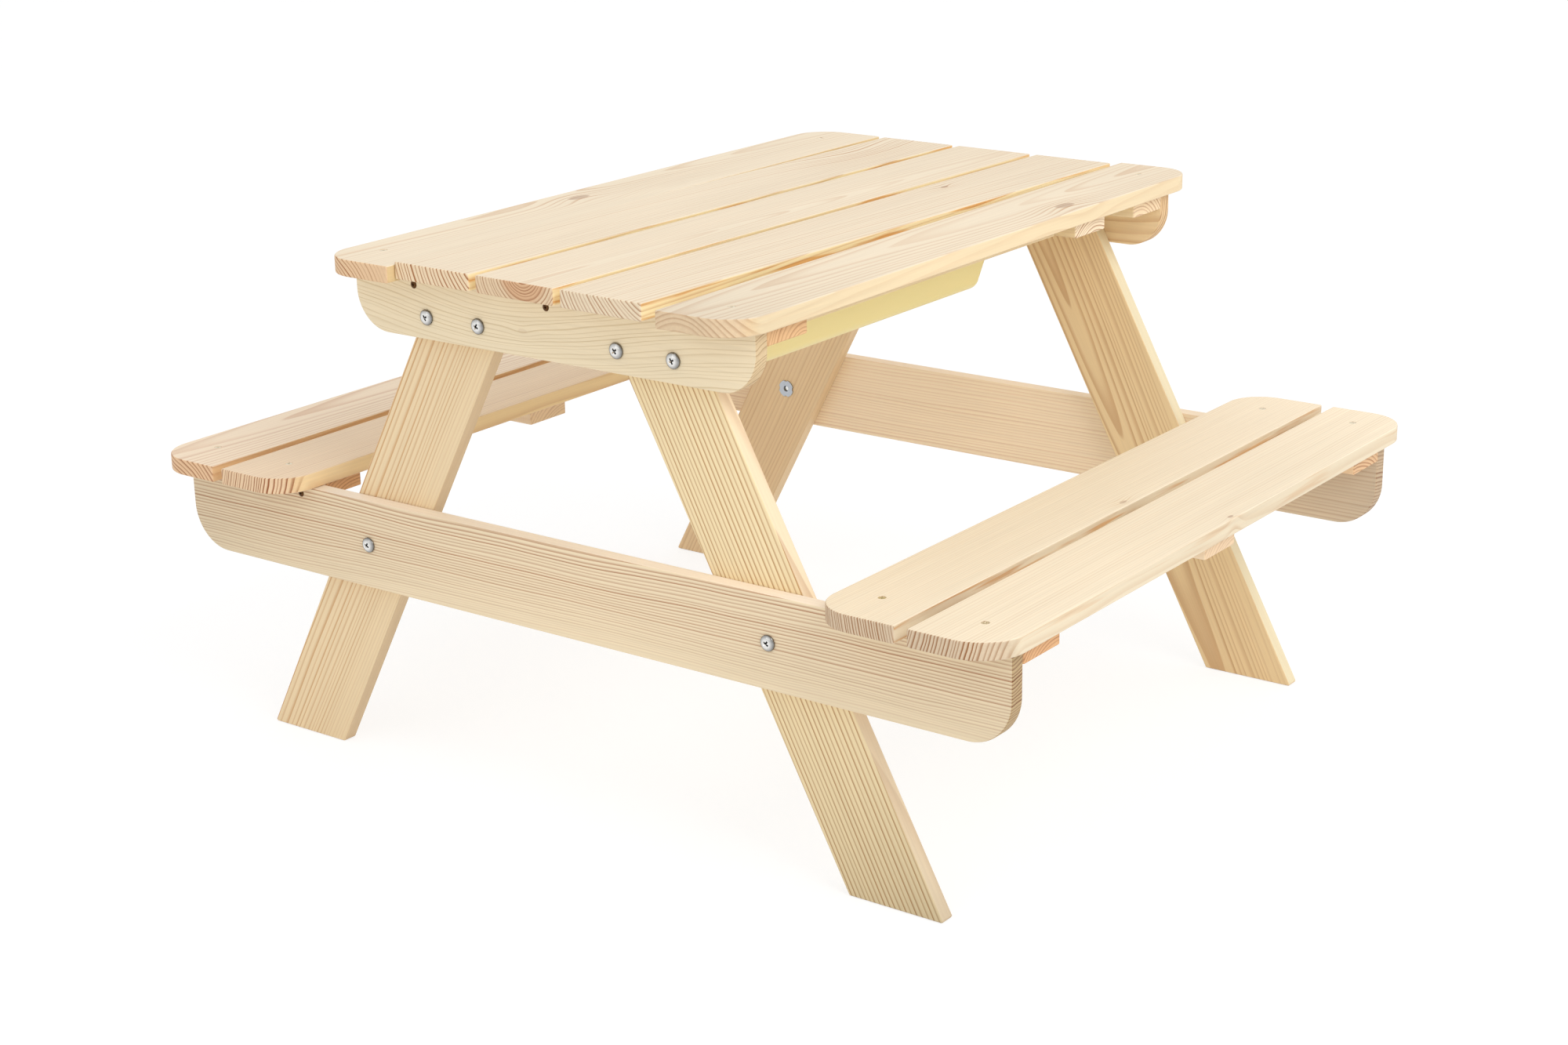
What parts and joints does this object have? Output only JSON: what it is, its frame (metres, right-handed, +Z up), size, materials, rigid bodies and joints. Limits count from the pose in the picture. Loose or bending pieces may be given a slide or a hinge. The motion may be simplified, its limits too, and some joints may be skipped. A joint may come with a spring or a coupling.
{
  "type": "picnic table with sandbox",
  "caption": "Child's wooden A-frame picnic table with fixed benches on both sides; the middle of its slatted top lifts off to open a sand tray.",
  "frame": {"origin": "on the floor under the middle of the table top", "axes": "+X across the table from bench to bench (right), +Y along the planks towards the far end, +Z up"},
  "size_m": [0.958, 0.7664, 0.5028],
  "materials": {
    "pine": "bare planed pine",
    "tray_plastic": "satin moulded, pale yellow",
    "bolt_zinc": "bright zinc plate",
    "nut_zinc": "zinc plate"
  },
  "bodies": {
    "frame": {"top_plank_left": "pine", "top_plank_right": "pine", "apron_near": "pine", "apron_far": "pine", "top_batten_near": "pine", "top_batten_far": "pine", "tray_batten": "pine", "tray_rail_left": "pine", "tray_rail_right": "pine", "leg_near_left": "pine", "leg_near_right": "pine", "leg_far_left": "pine", "leg_far_right": "pine", "beam_near": "pine", "beam_far": "pine", "bench_left_inner_plank": "pine", "bench_left_outer_plank": "pine", "bench_left_batten_near": "pine", "bench_left_batten_middle": "pine", "bench_left_batten_far": "pine", "bench_right_inner_plank": "pine", "bench_right_outer_plank": "pine", "bench_right_batten_near": "pine", "bench_right_batten_middle": "pine", "bench_right_batten_far": "pine", "apron_bolt_near_1": "bolt_zinc", "apron_bolt_near_2": "bolt_zinc", "apron_bolt_near_3": "bolt_zinc", "apron_bolt_near_4": "bolt_zinc", "beam_bolt_near_1": "bolt_zinc", "beam_bolt_near_2": "bolt_zinc", "apron_bolt_far_1": "bolt_zinc", "apron_bolt_far_2": "bolt_zinc", "apron_bolt_far_3": "bolt_zinc", "apron_bolt_far_4": "bolt_zinc", "beam_bolt_far_1": "bolt_zinc", "beam_bolt_far_2": "bolt_zinc", "apron_nut_near_1": "nut_zinc", "apron_nut_near_2": "nut_zinc", "apron_nut_near_3": "nut_zinc", "apron_nut_near_4": "nut_zinc", "beam_nut_near_1": "nut_zinc", "beam_nut_near_2": "nut_zinc", "apron_nut_far_1": "nut_zinc", "apron_nut_far_2": "nut_zinc", "apron_nut_far_3": "nut_zinc", "apron_nut_far_4": "nut_zinc", "beam_nut_far_1": "nut_zinc", "beam_nut_far_2": "nut_zinc"},
    "lid": {"lid_plank_left": "pine", "lid_plank_middle": "pine", "lid_plank_right": "pine", "lid_batten_near": "pine", "lid_batten_far": "pine"},
    "tray": {"sand_tray": "tray_plastic"}
  },
  "joints": [
    {"name": "lid_lift", "type": "slide", "parent": "frame", "child": "lid", "axis": [0, 0, 1], "range_m": [0, 0.24]},
    {"name": "tray_lift", "type": "slide", "parent": "frame", "child": "tray", "axis": [0, 0, 1], "range_m": [0, 0.12]}
  ],
  "couplings": [
    {"joint": "tray_lift", "follows": "lid_lift", "ratio": 0.5}
  ]
}
